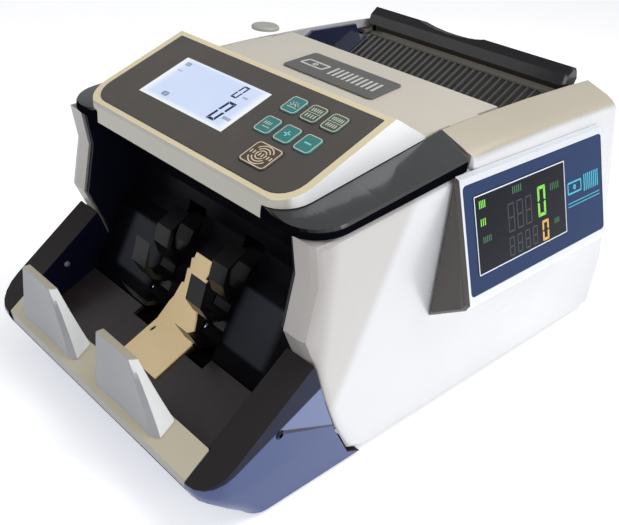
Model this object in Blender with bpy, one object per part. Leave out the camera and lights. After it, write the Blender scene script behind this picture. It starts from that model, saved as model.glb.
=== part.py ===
"""Banknote counting machine: hopper on top, stacking pocket in front, slanted control panel, side display.

The machine frame below is in millimetres: X to the operator's right, Y to the back, Z up, X = 0 on the
mid-plane of the body, Z = 0 on the table. Everything is moved by ORIGIN so that the world origin is the
bottom centre of the whole machine, the side display included, and is written out in metres.
"""
import math

import bmesh
import bpy
from mathutils import Matrix, Vector

MM = 0.001
ORIGIN = Vector((-13.6, -30.85, 0.0))

# ---- driving sizes -------------------------------------------------------------------------------
HALF_WIDTH = 121.0            # body, mid-plane to outside wall
POCKET_HALF = 99.0            # stacking pocket and note path, mid-plane to side wall
PANEL_HALF = 97.0             # control panel housing
SKIN = 2.6                    # wall of the moulded covers
GAP = 0.3                     # clearance between neighbouring mouldings
CHASSIS_PLATE = 3.0           # steel side plate
FOOT_HEIGHT = 3.0             # body's underside above the table
BOTTOM = FOOT_HEIGHT
EDGE = 1.2                    # small moulded edge

# Outline of the body seen from the side, (y, z).
FRONT_EDGE = [(-51, BOTTOM), (-63, 9), (-77, 34), (-88, 59), (-97, 84), (-108.6, 108.9),
              (-103, 142), (-108.3, 166.2)]
REAR_EDGE = [(176, 192), (183, 187), (206, 128), (225, 68), (231, 50), (231, BOTTOM)]
TOP_EDGE = [(12.3, 188.6), (34, 190), (56, 190.8), (98, 192), (150, 192.2)]
BAND_RISE = 7.0               # top band of a side shell climbs this much towards the hopper
BAND_INNER = 96.3             # inner edge of that band

# Glossy shoulders beside the panel: lower edge, outer and inner top edge at the front and at the rear.
SHOULDER_FRONT, SHOULDER_REAR = -109.0, 12.0
SHOULDER_LOW = (166.5, 180.0)
SHOULDER_OUT = (171.8, 187.7)
SHOULDER_IN = (173.4, 195.6)
SHOULDER_CORNER = 22.0

# Control panel: a tilted frame (a = X, b = up the slope, c = off the face).
PANEL_FRONT_Y, PANEL_FRONT_Z = -108.8, 178.8
PANEL_TILT = math.radians(22.3)
PANEL_LENGTH = 84.7
PANEL_CORNER = 18.3
PANEL_BACK = (-3.6, 195.2)    # foot of the panel's rear slope
LIP_BOTTOM = 166.4
LIP_HALF = 78.9
LABEL = (-91.8, 91.8, 4.7, 79.6)
LABEL_CORNER = 15.0
LABEL_THICK = 1.0
LCD = (-65.8, 16.7, 24.2, 64.7)
KEY_SIZE = (12.7, 14.2)
KEY_COLUMNS = (37.5, 53.8, 70.2)
KEY_ROWS = (63.3, 42.5)
RESET = (54.6, 21.9, 20.8, 17.8)
KEY_PROUD = 0.9               # key tops above the label
KEY_TRAVEL = 0.6
KEY_CLEAR = 0.35

# Tray in front: rim plane, strip and stoppers, floor.
RIM_FRONT, RIM_BACK = (-170.1, 36.7), (-95.0, 97.1)
STRIP_HALF = 100.4
STRIP = [(-154.6, 49.2), (-170.6, 36.4), (-168.8, 27.2), (-162.5, 27.2), (-154.6, 33.5)]
TRAY_WALL_BACK = -154.3       # rear face of the tray's front wall
FLOOR_START = (-153.9, 25.3)
FLOOR_SLOPE = 0.477
FLOOR_END_Y = -105.6
TONGUE_HALF = 18.8
TONGUE_FRONT_Y = -134.0
TONGUE_THICK = 1.2
TONGUE_EDGE = [(18.8, 49.0), (14.2, 62.5), (12.0, 67.0), (10.2, 76.6), (7.8, 76.6), (10.1, 85.6), (7.7, 85.6),
               (10.1, 92.2), (8.0, 92.2), (8.0, 97.5)]   # half width of its rising part against height
SENSOR_HOLE = (-14.6, -113.0, 1.6, 2.6)   # in the tongue: centre and half sizes in X, Y
STOPPER_LEFT = (-85.0, 5.0)   # left sides of the two stoppers
STOPPER_FOOT, STOPPER_TOP = 65.2, 35.6    # widths
STOPPER_FRONT_Y, STOPPER_BACK_Y, STOPPER_CREST = -167.8, -155.4, 77.0
BACK_PANEL = [(-105.4, 49.4), (-82.0, 96.0), (-72.5, 103), (-67, 114), (-67, 127), (-73, 140),
              (-86, 152), (-101.5, 162.3)]

# Note path: shafts along X at (y, z).
IMPELLER = (-79.0, 74.5)
IMPELLER_R = 43.0
IMPELLER_X = 29.0
IMPELLER_WIDTH = 14.6
SLOT_SIDE, SLOT_TIP = 1.8, 2.2   # clearance of a wheel in its slots, beside and round it
IMPELLER_HUB = 12.0
BLADES = 8
FEED = (42.0, 132.0)
FEED_R = 22.0
PICKUP = (96.0, 140.0)
PICKUP_R = 17.0
ROLLER_X = 32.0
ROLLER_WIDTH = 16.0
SHAFT_R = 4.0
SHAFT_CLEAR = 0.3
OUTER_TRACK, INNER_TRACK = (-117.2, -111.2), (-110.6, -104.6)
PULLEY_R = {"feed": 15.0, "pickup": 12.0, "motor": 8.0, "impeller": 8.0}
MOTOR = (120.0, 62.0)
BELT_THICK = 1.4

# Hopper: ribbed plate tilted down to the front, two sliding guides, folding handle behind.
HOPPER_FOOT = (78.0, 151.5)
HOPPER_TILT = math.radians(28.5)
HOPPER_LENGTH = 80.0
HOPPER_HALF = 91.5
GUIDE_X = (93.4, 95.8)
GUIDE_TRAVEL = 30.0
COVER_BACK = (71.0, 198.6)
HANDLE_PIVOT = (171.0, 180.0)
HANDLE_HALF = 92.5

# Side display on the right wall, cross-section (x, z) and span in Y.
POD_SECTION = [(HALF_WIDTH + GAP, 179.2), (HALF_WIDTH + 3.6, 178.0), (HALF_WIDTH + 27.2, 107.0),
               (HALF_WIDTH + 25.0, 102.5), (HALF_WIDTH + GAP, 86.0)]
POD_Y = (-5.0, 157.5)
POD_BEZEL = 4.0
POD_WINDOW = (8.0, 105.8, 12.0, 60.5)

# Rear wall fittings, (x, z) centres.
INLET = (-62.0, 28.0)
SWITCH = (-22.0, 28.0)
REAR_Y = REAR_EDGE[-1][0]

for item in list(bpy.data.objects):
    bpy.data.objects.remove(item, do_unlink=True)


# ---- frames: (a, b, c) of an outline and its depth, to the machine frame ---------------------------
def frame(origin, a, b, c):
    rows = Matrix((Vector(a), Vector(b), Vector(c))).transposed().to_4x4()
    return Matrix.Translation(Vector(origin)) @ rows


SIDE = frame((0, 0, 0), (0, 1, 0), (0, 0, 1), (1, 0, 0))       # outline in Y, Z, depth in X
FRONT = frame((0, 0, 0), (1, 0, 0), (0, 0, 1), (0, 1, 0))      # outline in X, Z, depth in Y
PLAN = frame((0, 0, 0), (1, 0, 0), (0, 1, 0), (0, 0, 1))       # outline in X, Y, depth in Z
up_slope = Vector((0, math.cos(PANEL_TILT), math.sin(PANEL_TILT)))
off_panel = Vector((0, -math.sin(PANEL_TILT), math.cos(PANEL_TILT)))
PANEL = frame((0, PANEL_FRONT_Y, PANEL_FRONT_Z), (1, 0, 0), up_slope, off_panel)
hopper_up = Vector((0, math.cos(HOPPER_TILT), math.sin(HOPPER_TILT)))
hopper_off = Vector((0, -math.sin(HOPPER_TILT), math.cos(HOPPER_TILT)))
HOPPER = frame((0, *HOPPER_FOOT), (1, 0, 0), hopper_off, hopper_up)   # outline in X and off the plate
pod_down = (Vector((POD_SECTION[2][0], 0, POD_SECTION[2][1]))
            - Vector((POD_SECTION[1][0], 0, POD_SECTION[1][1])))
POD_HEIGHT = pod_down.length
pod_down.normalize()
pod_off = Vector((0, 1, 0)).cross(pod_down)
pod_off = pod_off if pod_off.x > 0 else -pod_off
POD = frame((POD_SECTION[1][0], 0, POD_SECTION[1][1]), (0, 1, 0), pod_down, pod_off)


# ---- outlines --------------------------------------------------------------------------------------
def rounded(corners, steps=4):
    """Outline through (a, b, radius) corners."""
    points = []
    for i, (a, b, radius) in enumerate(corners):
        corner = Vector((a, b))
        if radius <= 0:
            points.append((a, b))
            continue
        before = (Vector(corners[i - 1][:2]) - corner).normalized()
        after = (Vector(corners[(i + 1) % len(corners)][:2]) - corner).normalized()
        half = before.angle(after) / 2
        centre = corner + (before + after).normalized() * (radius / math.sin(half))
        start = corner + before * (radius / math.tan(half)) - centre
        end = corner + after * (radius / math.tan(half)) - centre
        first = math.atan2(start.y, start.x)
        sweep = (math.atan2(end.y, end.x) - first + math.pi) % (2 * math.pi) - math.pi
        for k in range(steps + 1):
            angle = first + sweep * k / steps
            points.append((centre.x + radius * math.cos(angle), centre.y + radius * math.sin(angle)))
    return points


def rectangle(a0, a1, b0, b1, radius=0.0, steps=4):
    return rounded([(a0, b0, radius), (a1, b0, radius), (a1, b1, radius), (a0, b1, radius)], steps)


def circle(a, b, radius, steps=20):
    return [(a + radius * math.cos(2 * math.pi * k / steps), b + radius * math.sin(2 * math.pi * k / steps))
            for k in range(steps)]


def area(outline):
    return sum(p[0] * q[1] - q[0] * p[1] for p, q in zip(outline, outline[1:] + outline[:1])) / 2


def inset(outline, distance):
    """Outline moved inwards by distance, corner by corner."""
    sign = 1 if area(outline) > 0 else -1
    moved = []
    for i, here in enumerate(outline):
        p, before, after = Vector(here), Vector(outline[i - 1]), Vector(outline[(i + 1) % len(outline)])
        d1, d2 = (p - before).normalized(), (after - p).normalized()
        n1, n2 = Vector((-d1.y, d1.x)) * sign, Vector((-d2.y, d2.x)) * sign
        bisector = (n1 + n2).normalized()
        moved.append(tuple(p + bisector * (distance / max(0.35, bisector.dot(n1)))))
    return moved


def strip_outline(line, thickness):
    """Closed outline of a sheet whose face is line and whose body lies to the line's right."""
    back = []
    for i, here in enumerate(line):
        p = Vector(here)
        d1 = (p - Vector(line[i - 1])).normalized() if i else (Vector(line[1]) - p).normalized()
        d2 = (Vector(line[i + 1]) - p).normalized() if i < len(line) - 1 else d1
        n1, n2 = Vector((d1.y, -d1.x)), Vector((d2.y, -d2.x))
        bisector = (n1 + n2).normalized()
        back.append(tuple(p + bisector * (thickness / bisector.dot(n1))))
    return list(line) + back[::-1]


def along(pair, y):
    """Height on a shoulder edge at y."""
    share = (y - SHOULDER_FRONT) / (SHOULDER_REAR - SHOULDER_FRONT)
    return pair[0] + (pair[1] - pair[0]) * share


def floor_height(y):
    return FLOOR_START[1] + (y - FLOOR_START[0]) * FLOOR_SLOPE


# ---- bodies ----------------------------------------------------------------------------------------
materials = {}


def material(name, colour, roughness, metallic=0.0):
    if name not in materials:
        made = bpy.data.materials.new(name)
        made.use_nodes = True
        shader = made.node_tree.nodes["Principled BSDF"]
        shader.inputs["Base Color"].default_value = (*colour, 1.0)
        shader.inputs["Roughness"].default_value = roughness
        shader.inputs["Metallic"].default_value = metallic
        materials[name] = made
    return materials[name]


PALETTE = {
    "shell": ((0.74, 0.74, 0.75), 0.35, 0.3), "cover": ((0.60, 0.55, 0.46), 0.45, 0.2),
    "frame": ((0.68, 0.60, 0.42), 0.35, 0.4), "shoulder": ((0.03, 0.02, 0.02), 0.12, 0.0),
    "label": ((0.10, 0.08, 0.07), 0.5, 0.0), "lcd": ((0.70, 0.78, 0.95), 0.2, 0.0),
    "teal_key": ((0.05, 0.24, 0.23), 0.5, 0.0), "pale_key": ((0.35, 0.42, 0.36), 0.5, 0.0),
    "reset_key": ((0.38, 0.31, 0.20), 0.5, 0.0), "navy": ((0.035, 0.05, 0.16), 0.22, 0.0),
    "dark": ((0.02, 0.02, 0.025), 0.4, 0.0), "floor": ((0.05, 0.04, 0.04), 0.4, 0.0),
    "ivory": ((0.72, 0.66, 0.46), 0.5, 0.0), "white": ((0.85, 0.84, 0.80), 0.5, 0.0),
    "tongue": ((0.74, 0.56, 0.34), 0.5, 0.0), "plate": ((0.09, 0.09, 0.08), 0.5, 0.0),
    "knob": ((0.35, 0.34, 0.30), 0.5, 0.0), "bezel": ((0.82, 0.83, 0.85), 0.35, 0.0),
    "pod_label": ((0.05, 0.06, 0.18), 0.45, 0.0), "window": ((0.01, 0.012, 0.015), 0.12, 0.0),
    "steel": ((0.55, 0.56, 0.58), 0.35, 1.0), "rubber": ((0.03, 0.03, 0.03), 0.8, 0.0),
    "zinc": ((0.60, 0.61, 0.60), 0.4, 1.0), "board": ((0.03, 0.16, 0.06), 0.5, 0.0),
    "belt": ((0.05, 0.12, 0.05), 0.8, 0.0), "wheel": ((0.03, 0.03, 0.035), 0.45, 0.0),
    "copper": ((0.5, 0.25, 0.10), 0.4, 0.6), "inlet": ((0.02, 0.02, 0.02), 0.6, 0.0),
    "rocker": ((0.35, 0.02, 0.02), 0.4, 0.0), "grey": ((0.3, 0.31, 0.32), 0.5, 0.0),
}


def finish(name, mesh_bm, slot, pivot=(0, 0, 0), smooth=False):
    """Object from a bmesh in machine millimetres, its origin on pivot."""
    bmesh.ops.remove_doubles(mesh_bm, verts=mesh_bm.verts, dist=0.0001)
    bmesh.ops.recalc_face_normals(mesh_bm, faces=mesh_bm.faces)
    shift = Matrix.Scale(MM, 4) @ Matrix.Translation(-Vector(pivot))
    bmesh.ops.transform(mesh_bm, matrix=shift, verts=mesh_bm.verts)
    mesh = bpy.data.meshes.new(name)
    mesh_bm.to_mesh(mesh)
    mesh_bm.free()
    made = bpy.data.objects.new(name, mesh)
    made.location = (Vector(pivot) + ORIGIN) * MM
    bpy.context.scene.collection.objects.link(made)
    mesh.materials.append(material(name + "_" + slot, *PALETTE[slot]))
    for face in mesh.polygons:
        face.use_smooth = smooth
    if smooth:
        mesh.set_sharp_from_angle(angle=math.radians(32))
    return made


def loft_bm(rings, closed=False):
    """Skin through equal rings of points, capped at both ends unless closed on itself."""
    made = bmesh.new()
    rows = [[made.verts.new(Vector(p)) for p in ring] for ring in rings]
    count = len(rows[0])
    pairs = list(zip(rows, rows[1:])) + ([(rows[-1], rows[0])] if closed else [])
    for low, high in pairs:
        for i in range(count):
            j = (i + 1) % count
            made.faces.new((low[i], low[j], high[j], high[i]))
    if not closed:
        made.faces.new(rows[0][::-1])
        made.faces.new(rows[-1])
    return made


def loft(name, rings, slot, pivot=(0, 0, 0), smooth=False):
    return finish(name, loft_bm(rings), slot, pivot, smooth)


def prism(name, outline, where, low, high, slot, pivot=(0, 0, 0), edges=(0.0, 0.0), smooth=False):
    """Outline pushed through depth low to high of a frame, with its end edges chamfered."""
    levels = []
    if edges[0]:
        levels.append((low, edges[0]))
    levels += [(low + edges[0], 0.0), (high - edges[1], 0.0)]
    if edges[1]:
        levels.append((high, edges[1]))
    rings = []
    for depth, back in levels:
        ring = inset(outline, back) if back else outline
        rings.append([where @ Vector((a, b, depth)) for a, b in ring])
    return loft(name, rings, slot, pivot, smooth)


def turned(name, profile, axis_yz, slot, steps=20, bore=0.0, pivot=None):
    """Turned part on a shaft line along X: profile of (x, radius), bored through if asked."""
    y, z = axis_yz
    rings = []
    for x, radius in profile:
        rings.append([(x, y + radius * math.cos(2 * math.pi * k / steps),
                       z + radius * math.sin(2 * math.pi * k / steps)) for k in range(steps)])
    if bore:
        for x in (profile[-1][0], profile[0][0]):
            rings.append([(x, y + bore * math.cos(2 * math.pi * k / steps),
                           z + bore * math.sin(2 * math.pi * k / steps)) for k in range(steps)])
    made = loft_bm(rings, closed=bool(bore))
    return finish(name, made, slot, pivot or (profile[0][0], y, z), True)


def combine(target, others, operation="DIFFERENCE"):
    """Exact cut or join of target with the other bodies, which are then taken away."""
    for other in others:
        other.hide_render = True
        other.display_type = "WIRE"
        step = target.modifiers.new(other.name, "BOOLEAN")
        step.operation = operation
        step.solver = "EXACT"
        step.object = other
    bpy.context.view_layer.update()
    solid = target.evaluated_get(bpy.context.evaluated_depsgraph_get())
    mesh = bpy.data.meshes.new_from_object(solid)
    slot = target.data.materials[0]
    target.modifiers.clear()
    target.data = mesh
    mesh.materials.clear()
    mesh.materials.append(slot)
    for face in mesh.polygons:
        face.material_index = 0
    for other in others:
        bpy.data.objects.remove(other, do_unlink=True)
    return target


def cut(target, *others):
    return combine(target, others)


def join(target, *others):
    return combine(target, others, "UNION")


def mirror(points, side):
    return [(side * x, y, z) for x, y, z in points]


# ---- covers ----------------------------------------------------------------------------------------
def body_outline():
    """Outside of a side shell seen from the side, from its front foot round to its rear foot."""
    ledge = [(SHOULDER_FRONT + 1.5, along(SHOULDER_LOW, SHOULDER_FRONT) - GAP),
             (SHOULDER_REAR + GAP, along(SHOULDER_LOW, SHOULDER_REAR) - GAP)]
    return FRONT_EDGE[:-1] + ledge + TOP_EDGE + REAR_EDGE


def lifted(outline, rise):
    """The same outline at the hopper side, where the top band has climbed."""
    return [(y, z + (rise if y > SHOULDER_REAR and z > 188 else 0)) for y, z in outline]


def side_shell(name, side):
    outline = body_outline()
    levels = [(HALF_WIDTH, 6.0, 0.0), (HALF_WIDTH - 0.9, 3.2, 0.0), (HALF_WIDTH - 2.6, 1.3, 0.0),
              (HALF_WIDTH - 5.5, 0.25, 0.05), (HALF_WIDTH - 8.0, 0.0, 0.2), (BAND_INNER, 0.0, 1.0)]
    rings = []
    for x, back, climb in levels:
        ring = lifted(inset(outline, back) if back else outline, BAND_RISE * climb)
        rings.append([(side * x, y, max(z, BOTTOM)) for y, z in ring])
    shell = loft(name, rings, "shell")
    hollow = [(y, z - (40 if z < 12 else 0)) for y, z in inset(outline, SKIN)]
    wall = POCKET_HALF + CHASSIS_PLATE + GAP
    inside = prism("inside", hollow, SIDE, *sorted((side * wall, side * (HALF_WIDTH - SKIN))), "shell")
    reach = [(-200, -20), (300, -20), (300, 192.4), (-200, 192.4)]
    note_path = prism("note_path", reach, SIDE, *sorted((side * 60, side * wall)), "shell")
    return cut(shell, inside, note_path)


for side, label in ((-1, "left"), (1, "right")):
    side_shell("side_shell_" + label, side)


def shoulder(name, side):
    """Glossy shoulder: outer band with a top that climbs to the panel housing."""
    centre = (HALF_WIDTH - SHOULDER_CORNER, SHOULDER_FRONT + SHOULDER_CORNER)
    outer = [(LIP_HALF + GAP, SHOULDER_FRONT), (90.0, SHOULDER_FRONT)]
    for k in range(9):
        angle = -math.pi / 2 + k * math.pi / 16
        outer.append((centre[0] + SHOULDER_CORNER * math.cos(angle),
                      centre[1] + SHOULDER_CORNER * math.sin(angle)))
    outer += [(HALF_WIDTH, y) for y in (-60.0, -24.0, -8.0, SHOULDER_REAR - 4)]
    outer.append((HALF_WIDTH - 4, SHOULDER_REAR))
    corner = (PANEL_HALF - PANEL_CORNER, PANEL_FRONT_Y + PANEL_CORNER)
    inner = [(LIP_HALF + GAP, SHOULDER_FRONT + 0.3)]
    for k in range(10):
        angle = -math.pi / 2 + (k + 1) * math.pi / 20
        inner.append((corner[0] + (PANEL_CORNER + 0.1) * math.cos(angle),
                      corner[1] + (PANEL_CORNER + 0.1) * math.sin(angle)))
    inner += [(PANEL_HALF + 0.1, y) for y in (-60.0, -24.0, -8.0, SHOULDER_REAR - 4, SHOULDER_REAR)]
    deep = [(LIP_HALF + GAP if y < -20 else BAND_INNER, max(y, SHOULDER_FRONT + 3)) for _, y in inner]
    rings = []
    for out, mid, low in zip(outer, inner, deep):
        base, top, crown = along(SHOULDER_LOW, out[1]), along(SHOULDER_OUT, out[1]), along(SHOULDER_IN, mid[1])
        inward = Vector((mid[0] - out[0], mid[1] - out[1]))
        share = min(0.45, 1.3 / max(inward.length, 0.4))
        lip = Vector(out) + inward * share
        crown = max(crown, top + 0.4)
        floor = along(SHOULDER_LOW, mid[1])
        rings.append(mirror([(*out, base), (*out, top - 1.3), (*lip, top), (*mid, crown), (*low, crown),
                             (*low, floor), (*mid, floor)], side))
    return loft(name, rings, "shoulder", smooth=True)


for side, label in ((-1, "left"), (1, "right")):
    shoulder("shoulder_trim_" + label, side)


# ---- control panel ---------------------------------------------------------------------------------
def panel_housing():
    top_back = PANEL @ Vector((0, PANEL_LENGTH, 0))
    top = [(PANEL_FRONT_Y, LIP_BOTTOM), (PANEL_FRONT_Y, PANEL_FRONT_Z - 1.6),
           (PANEL_FRONT_Y + 1.2, PANEL_FRONT_Z), (top_back.y - 1.0, top_back.z - 0.4),
           (top_back.y + 0.8, top_back.z - 1.1), PANEL_BACK, (PANEL_BACK[0], PANEL_BACK[1] - 3.0)]
    under = [(SHOULDER_REAR - 16.5, 188.0), (-80.0, 172.0), (-101.0, LIP_BOTTOM)]
    plan = [(-PANEL_HALF, 0, 0), (-PANEL_HALF, PANEL_FRONT_Y, PANEL_CORNER),
            (PANEL_HALF, PANEL_FRONT_Y, PANEL_CORNER), (PANEL_HALF, 0, 0)]
    body = prism("panel_housing", top + under, SIDE, -PANEL_HALF - 5, PANEL_HALF + 5, "frame")
    limits = prism("limits", rounded(plan, 7), PLAN, 100, 260, "frame")
    combine(body, [limits], "INTERSECT")
    inside = [(PANEL_FRONT_Y + 3.2, 120), (PANEL_FRONT_Y + 3.2, PANEL_FRONT_Z - 5),
              (top_back.y - 1.5, top_back.z - 7.5), (PANEL_BACK[0] - 4.5, PANEL_BACK[1] - 3.2),
              (PANEL_BACK[0] - 4.5, 120)]
    hollow = prism("hollow", inside, SIDE, -LIP_HALF + 2.6, LIP_HALF - 2.6, "frame")
    seats = []
    for side in (-1, 1):
        seat = [(-130, 120), (20, 120), (20, along(SHOULDER_IN, 20) + GAP + 0.4),
                (-130, along(SHOULDER_IN, -130) + GAP + 0.4)]
        seats.append(prism("seat", seat, SIDE, *sorted((side * LIP_HALF, side * 130)), "frame"))
    recess = prism("recess", label_outline(-GAP), PANEL, -LABEL_THICK - GAP, 20, "frame")
    display_well = prism("display_well", rectangle(LCD[0] - 1, LCD[1] + 1, LCD[2] - 1, LCD[3] + 1), PANEL,
                         -3.2, 20, "frame")
    wells = [prism("well", key_outline(*key, -KEY_CLEAR), PANEL, -3.4, 20, "frame") for key in key_places()]
    return cut(body, hollow, *seats, recess, display_well, *wells)


def label_outline(shrink):
    a0, a1, b0, b1 = LABEL
    outline = rounded([(a0, b0, LABEL_CORNER), (a1, b0, LABEL_CORNER), (a1, b1, 0.8), (a0, b1, 0.8)], 6)
    return inset(outline, shrink) if shrink else outline


def key_places():
    """Centre, size and corner of the six small keys and the reset key."""
    small = [(a, b, *KEY_SIZE) for b in KEY_ROWS for a in KEY_COLUMNS]
    return small + [RESET]


def key_outline(a, b, wide, tall, shrink=0.0):
    outline = rectangle(a - wide / 2, a + wide / 2, b - tall / 2, b + tall / 2, 2.6, 3)
    return inset(outline, shrink) if shrink else outline


def panel_label():
    plate = prism("panel_label", label_outline(0), PANEL, -LABEL_THICK, 0.0, "label")
    holes = [prism("hole", key_outline(*key, -KEY_CLEAR), PANEL, -5, 5, "label") for key in key_places()]
    view = prism("view", rectangle(LCD[0] - 0.3, LCD[1] + 0.3, LCD[2] - 0.3, LCD[3] + 0.3), PANEL, -5, 5,
                 "label")
    return cut(plate, view, *holes)


panel_housing()
panel_label()
prism("lcd_lens", rectangle(*LCD), PANEL, -2.8, -0.25, "lcd", edges=(0, 0.2))
KEY_NAMES = ["key_uv", "key_magnetic", "key_ink", "key_mode", "key_plus", "key_minus", "reset_key"]
KEY_COLOURS = ["teal_key", "pale_key", "pale_key", "pale_key", "teal_key", "teal_key", "reset_key"]
for name, colour, key in zip(KEY_NAMES, KEY_COLOURS, key_places()):
    seat = PANEL @ Vector((key[0], key[1], KEY_PROUD))
    prism(name, key_outline(*key), PANEL, -3.4 + KEY_TRAVEL + GAP, KEY_PROUD, colour, seat, (0, 0.4))


# ---- covers behind the panel -----------------------------------------------------------------------
def top_cover():
    back_y, back_z = COVER_BACK
    front_y = PANEL_BACK[0] + GAP
    section = [(front_y, PANEL_BACK[1]), (SHOULDER_REAR, 196.0), (back_y - 2, back_z), (back_y, back_z - 1.5),
               (back_y, 168), (back_y - SKIN, 168), (back_y - SKIN, back_z - 3), (front_y, PANEL_BACK[1] - 3)]
    cover = prism("top_cover", section, SIDE, -BAND_INNER + GAP, BAND_INNER - GAP, "cover")
    corners = [prism("corner", rectangle(side * 95.4, side * 110, front_y - 5, SHOULDER_REAR + 8.0), PLAN,
                     120, 240, "cover") for side in (-1, 1)]
    slits = [prism("slit", rectangle(side * 94.2, side * 110, 48, 90), PLAN, 120, 240, "cover")
             for side in (-1, 1)]
    plate = [(-41.6, 10.7, 3), (41.4, 10.7, 3), (36.2, 47, 3), (-45.6, 47, 3)]
    seat = prism("seat", rounded(plate, 3), frame((0, 0, 196.35), (1, 0, 0), (0, 1, 0.045), (0, -0.045, 1)),
                 -0.9, 10, "cover")
    return cut(cover, *corners, *slits, seat)


top_cover()
name_shape = rounded([(-41, 11.2, 2.6), (40.8, 11.2, 2.6), (35.8, 46.5, 2.6), (-45, 46.5, 2.6)], 3)
prism("name_plate", name_shape, frame((0, 0, 196.35), (1, 0, 0), (0, 1, 0.045), (0, -0.045, 1)), -0.6, 0.5,
      "grey", edges=(0, 0.2))

knob_rings = []
for z, radius in ((199.9, 8.5), (199.9, 10.6), (201.6, 10.6), (202.6, 9.4)):
    knob_rings.append([(-107.5 + a, 53 + b, z) for a, b in circle(0, 0, radius, 24)])
loft("gap_knob", [knob_rings[0]] + knob_rings[1:], "knob", (-107.5, 53, 199.9), True)


def rear_cover():
    """Back wall between the side shells, with vents and the cut-outs for inlet and switch."""
    half = POCKET_HALF + CHASSIS_PLATE
    line = [(151.0, 190.4)] + REAR_EDGE
    wall = prism("rear_cover", strip_outline(line, SKIN), SIDE, -half, half, "shell")
    notches = [prism("notch", [(140, 176), (190, 176), (190, 220), (140, 220)], SIDE,
                     *sorted((side * (HANDLE_HALF - 4.6), side * (HANDLE_HALF + 1.2))), "shell")
               for side in (-1, 1)]
    vents = []
    for row in range(2):
        for k in range(7):
            x = -66 + 22 * k
            z = 92 + 34 * row
            vents.append(prism("vent", rectangle(x - 7.5, x + 7.5, z, z + 24, 2.2, 2), FRONT, 150,
                               REAR_Y + 30, "shell"))
    x, z = INLET
    socket = prism("socket", rectangle(x - 13.9, x + 13.9, z - 10.4, z + 10.4), FRONT, REAR_Y - 30,
                   REAR_Y + 30, "shell")
    x, z = SWITCH
    rocker_hole = prism("rocker_hole", rectangle(x - 7, x + 7, z - 10.5, z + 10.5), FRONT, REAR_Y - 30,
                        REAR_Y + 30, "shell")
    return cut(wall, *notches, *vents, socket, rocker_hole)


rear_cover()

x, z = INLET
inlet = prism("power_inlet", rectangle(x - 16, x + 16, z - 12.4, z + 12.4, 2, 2), FRONT, REAR_Y + GAP,
              REAR_Y + 2.2, "inlet", edges=(0, 0.4))
socket_body = prism("socket_body", rectangle(x - 13.5, x + 13.5, z - 10, z + 10), FRONT, REAR_Y - 20,
                    REAR_Y + 1.0, "inlet")
join(inlet, socket_body)
socket_shape = [(x - 12, z - 8.2), (x + 12, z - 8.2), (x + 12, z + 4), (x + 8, z + 8.2), (x - 8, z + 8.2),
                (x - 12, z + 4)]
cut(inlet, prism("socket_space", socket_shape, FRONT, REAR_Y - 15, REAR_Y + 10, "inlet"))

x, z = SWITCH
ROCKER_TILT = math.radians(8)
rocker_pivot = (x, REAR_Y - 2.0, z)
rocker_frame = Matrix.Translation(Vector(rocker_pivot)) @ Matrix.Rotation(-ROCKER_TILT, 4, "X") @ SIDE
rocker_side = [(-6, -8), (2.6, -9.2), (3.4, -9.0), (2.2, 0), (3.4, 9.0), (2.6, 9.2), (-6, 8)]
prism("power_switch", rocker_side, rocker_frame, -6.5, 6.5, "rocker", rocker_pivot, (0.4, 0.4))


# ---- tray and pocket -------------------------------------------------------------------------------
def base_tray():
    rings = []
    for z, front, corner in ((BOTTOM, -141.0, 12), (BOTTOM + 3, -144.5, 14), (15, -156, 16), (27, -169.0, 17),
                             (33, -171.5, 18), (100, -171.5, 18)):
        ring = rounded([(-HALF_WIDTH, -30, 0), (-HALF_WIDTH, front, corner), (HALF_WIDTH, front, corner),
                        (HALF_WIDTH, -30, 0)], 5)
        rings.append([(a, b, z) for a, b in ring])
    tray = loft("base_tray", rings, "navy")
    slope = (RIM_BACK[1] - RIM_FRONT[1]) / (RIM_BACK[0] - RIM_FRONT[0])
    over = [(-200, RIM_FRONT[1] + slope * (-200 - RIM_FRONT[0])), (0, RIM_FRONT[1] + slope * -RIM_FRONT[0]),
            (0, 300), (-200, 300)]
    above = prism("above", over, SIDE, -200, 200, "navy")
    behind = [(y - 0.5, z) for y, z in FRONT_EDGE[:6]]
    behind = [(-39.0, -20), (-39.0, -3.2)] + behind[1:] + [(0, 130), (0, -20)]
    shell_space = prism("shell_space", behind, SIDE, -200, 200, "navy")
    pocket = [(TRAY_WALL_BACK, 19.5), (TRAY_WALL_BACK + 3, 15.5), (TRAY_WALL_BACK + 14.5, BOTTOM + 3),
              (20, BOTTOM + 3), (20, 200), (TRAY_WALL_BACK, 200)]
    inside = prism("inside", pocket, SIDE, -POCKET_HALF, POCKET_HALF, "navy")
    seat = inset(STRIP, -GAP)
    strip_space = [(-190, 80), (-153.9, 80), (-153.9, 49.9), seat[4], seat[3], (-190, seat[3][1])]
    strip_seat = prism("strip_seat", strip_space, SIDE, -STRIP_HALF - GAP, STRIP_HALF + GAP, "navy")
    return cut(tray, above, shell_space, inside, strip_seat)


base_tray()
prism("stacker_plate", STRIP, SIDE, -STRIP_HALF, STRIP_HALF, "ivory", edges=(0.4, 0.4))


def strip_height(y):
    (y0, z0), (y1, z1) = STRIP[1], STRIP[0]
    return z0 + (z1 - z0) * (y - y0) / (y1 - y0)


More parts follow.
